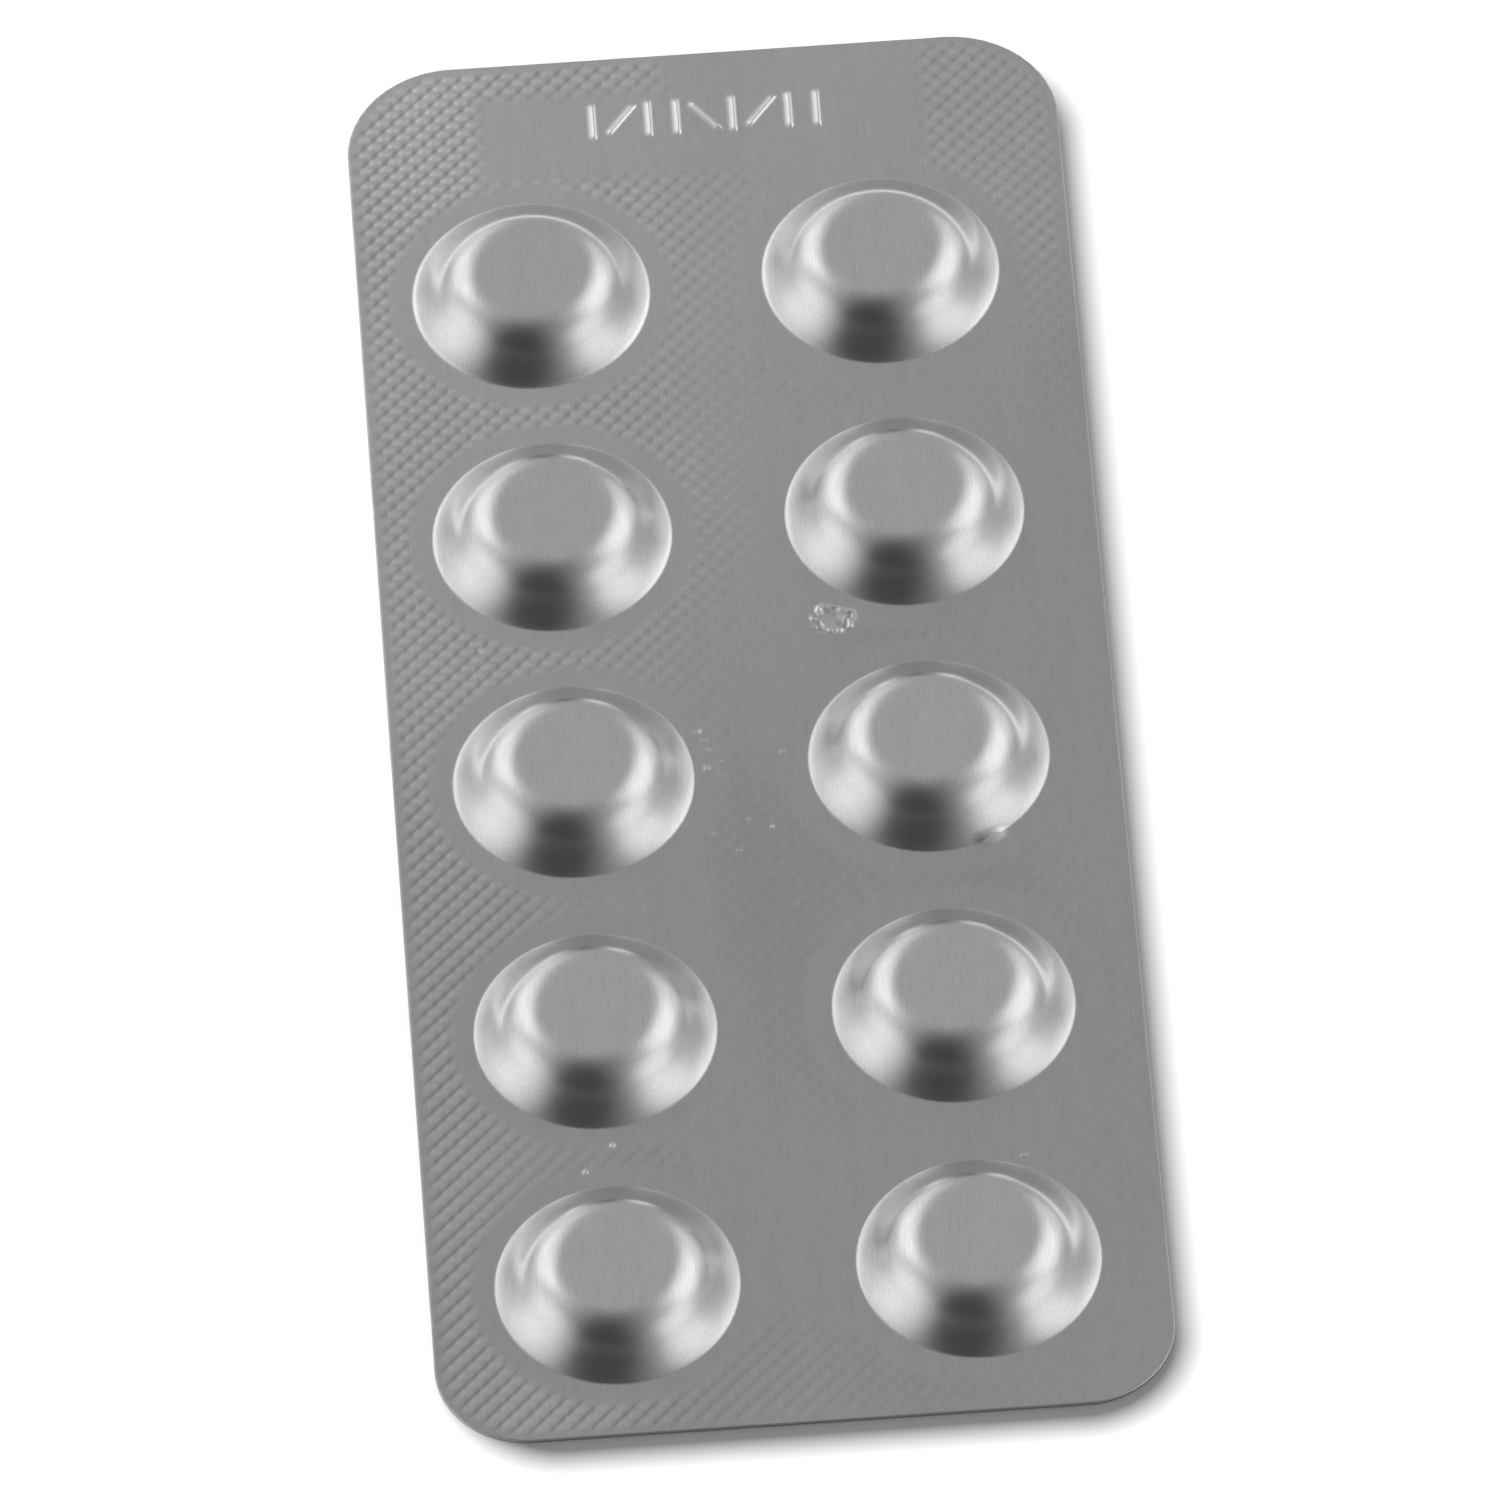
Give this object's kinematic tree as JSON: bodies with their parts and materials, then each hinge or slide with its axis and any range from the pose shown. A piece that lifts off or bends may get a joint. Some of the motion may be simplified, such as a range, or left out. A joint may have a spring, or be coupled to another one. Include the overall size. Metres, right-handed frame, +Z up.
{
  "type": "foil blister strip of tablets",
  "caption": "Flat sealed foil blister strip with rows of round flared pockets that each hold a tablet, a knurled seal area around them and a stamped band at one end.",
  "frame": {"origin": "middle of the flat back, on the surface the strip lies on", "axes": "+X across the strip, +Y along it towards the stamped end, +Z up out of the pockets"},
  "size_m": [0.038, 0.0904, 0.0025],
  "materials": {
    "foil": "satin rolled foil, knurled in the seal area"
  },
  "bodies": {
    "root": {"blister_strip": "foil"}
  },
  "joints": []
}
